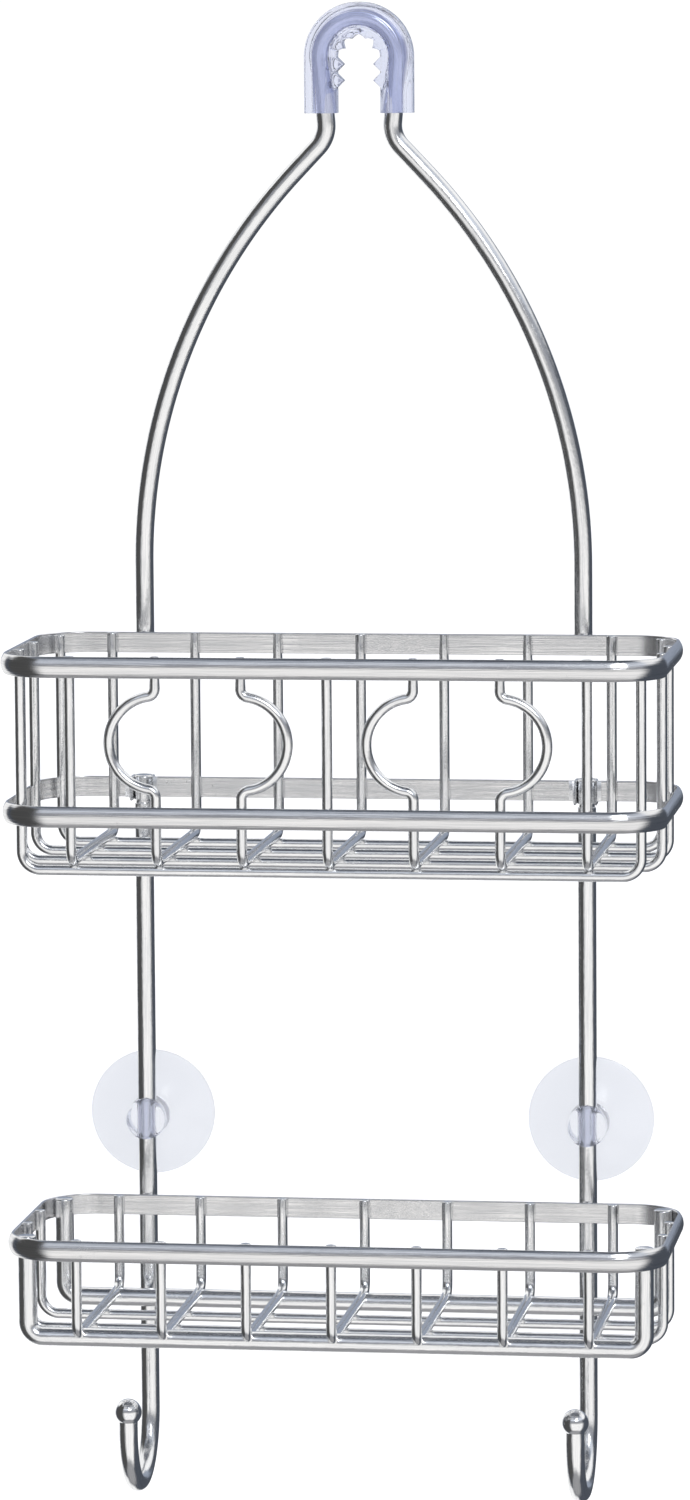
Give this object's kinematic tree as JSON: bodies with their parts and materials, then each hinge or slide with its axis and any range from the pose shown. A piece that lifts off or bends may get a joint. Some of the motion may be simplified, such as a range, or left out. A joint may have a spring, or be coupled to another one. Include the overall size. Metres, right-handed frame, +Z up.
{
  "type": "hanging shower caddy",
  "caption": "Hanging shower caddy of bent aluminium rod and wire, with stacked baskets, bottle loops, towel hooks and clear suction cups.",
  "frame": {"origin": "centre of the hook's inside curve, on the axis of a shower arm lying in the hook, in the plane of the hanging rods", "axes": "+Z up, open fronts of the baskets and the towel hooks towards -Y, wall on the +Y side, +X to the right seen from the front"},
  "size_m": [0.252, 0.1171, 0.576],
  "materials": {
    "thick_rod": "bright drawn rod, satin gloss",
    "basket_wire": "bright drawn wire",
    "brushed_bar": "half-oval bar, polished outside and brushed along its length inside",
    "clip_sheet": "satin pressed sheet",
    "bright_ball": "mirror polished",
    "clear_vinyl": "clear soft vinyl with a blue cast",
    "clear_cup": "clear soft vinyl, slightly milky disc"
  },
  "bodies": {
    "frame": {"hanger_arch": "thick_rod", "hook_sleeve": "clear_vinyl", "upper_top_rim": "brushed_bar", "upper_middle_rim": "brushed_bar", "middle_rim_back_bar": "brushed_bar", "lower_rim": "brushed_bar", "upper_cross_wire_1": "basket_wire", "upper_cross_wire_2": "basket_wire", "upper_cross_wire_3": "basket_wire", "upper_cross_wire_4": "basket_wire", "upper_cross_wire_5": "basket_wire", "upper_cross_wire_6": "basket_wire", "upper_cross_wire_7": "basket_wire", "upper_long_wire_1": "basket_wire", "upper_long_wire_2": "basket_wire", "upper_long_wire_3": "basket_wire", "upper_long_wire_4": "basket_wire", "lower_cross_wire_1": "basket_wire", "lower_cross_wire_2": "basket_wire", "lower_cross_wire_3": "basket_wire", "lower_cross_wire_4": "basket_wire", "lower_cross_wire_5": "basket_wire", "lower_cross_wire_6": "basket_wire", "lower_cross_wire_7": "basket_wire", "lower_long_wire_1": "basket_wire", "lower_long_wire_2": "basket_wire", "lower_front_rail": "thick_rod", "lower_back_rail": "thick_rod", "left_upright": "thick_rod", "left_hook_ball": "bright_ball", "left_socket_clip": "clip_sheet", "right_upright": "thick_rod", "right_hook_ball": "bright_ball", "right_socket_clip": "clip_sheet"},
    "left_cup": {"left_suction_cup": "clear_cup"},
    "right_cup": {"right_suction_cup": "clear_cup"}
  },
  "joints": [
    {"name": "left_cup_slide", "type": "slide", "parent": "frame", "child": "left_cup", "axis": [0, 0, 1], "range_m": [-0.02, 0.11]},
    {"name": "right_cup_slide", "type": "slide", "parent": "frame", "child": "right_cup", "axis": [0, 0, 1], "range_m": [-0.02, 0.11]}
  ]
}
